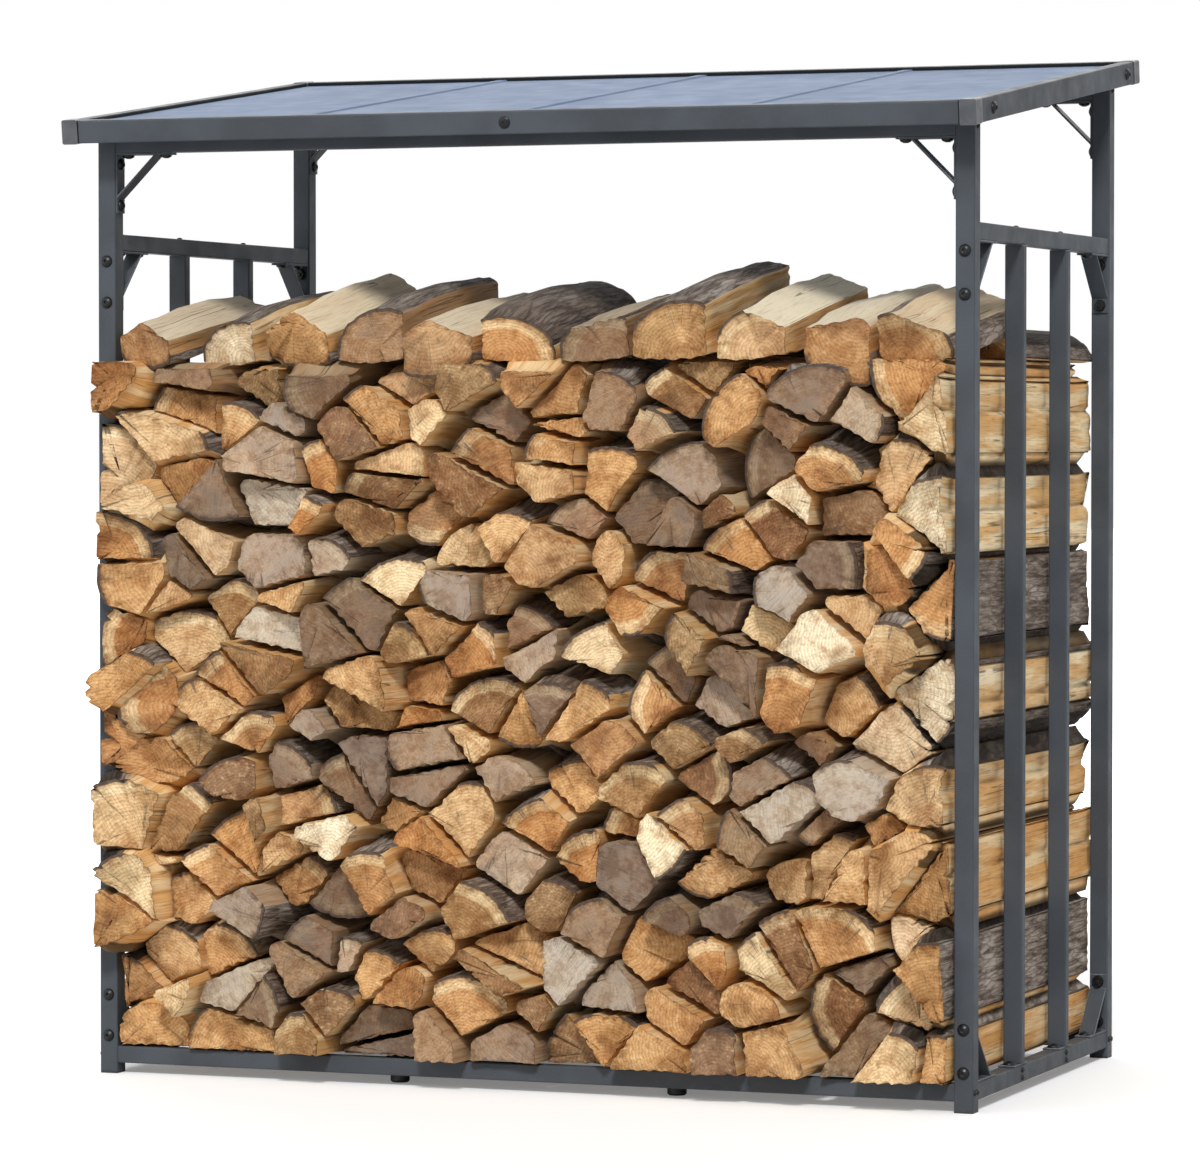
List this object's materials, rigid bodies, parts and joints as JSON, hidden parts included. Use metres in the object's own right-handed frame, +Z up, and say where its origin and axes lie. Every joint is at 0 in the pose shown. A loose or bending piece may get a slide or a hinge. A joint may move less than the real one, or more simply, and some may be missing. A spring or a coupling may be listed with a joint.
{
  "type": "log store",
  "caption": "Open steel log store on square tube posts, with slatted sides, corner braces, a single-pitch sheet roof and a stack of split firewood.",
  "frame": {"origin": "on the ground under the middle of the roof", "axes": "+Z up, +X to the right as seen from the open front, +Y from the front to the back"},
  "size_m": [1.249, 0.766, 1.3486],
  "materials": {
    "powder_coat": "anthracite powder coat",
    "roof_sheet": "smooth blue-grey coated sheet steel",
    "black_steel": "blackened steel bolts and nuts",
    "black_plastic": "moulded black plastic",
    "firewood": "split logs with bark and sawn ends"
  },
  "bodies": {
    "root": {"front_left_post": "powder_coat", "front_right_post": "powder_coat", "rear_left_post": "powder_coat", "rear_right_post": "powder_coat", "front_bottom_rail": "powder_coat", "rear_bottom_rail": "powder_coat", "front_top_rail": "powder_coat", "rear_top_rail": "powder_coat", "left_bottom_side_rail": "powder_coat", "right_bottom_side_rail": "powder_coat", "left_top_side_rail": "powder_coat", "right_top_side_rail": "powder_coat", "left_side_slats": "powder_coat", "right_side_slats": "powder_coat", "slat_foot_plates": "powder_coat", "left_floor_joist": "powder_coat", "right_floor_joist": "powder_coat", "left_side_braces": "powder_coat", "right_side_braces": "powder_coat", "front_roof_braces": "powder_coat", "rear_roof_braces": "powder_coat", "roof_front_beam": "powder_coat", "roof_rear_beam": "powder_coat", "roof_left_beam": "powder_coat", "roof_right_beam": "powder_coat", "roof_middle_rafter": "powder_coat", "roof_sheet_left": "roof_sheet", "roof_sheet_centre_left": "roof_sheet", "roof_sheet_centre_right": "roof_sheet", "roof_sheet_right": "roof_sheet", "roof_seam_covers": "roof_sheet", "post_foot_caps": "black_plastic", "joist_feet": "black_plastic", "roof_beam_caps": "black_plastic", "roof_side_bolts": "black_steel", "firewood_tier_1": "firewood", "firewood_tier_2": "firewood", "firewood_tier_3": "firewood", "firewood_tier_4": "firewood", "firewood_tier_5": "firewood", "firewood_tier_6": "firewood", "firewood_tier_7": "firewood", "firewood_tier_8": "firewood", "firewood_back_course": "firewood", "firewood_leaning_logs": "firewood"}
  },
  "joints": []
}
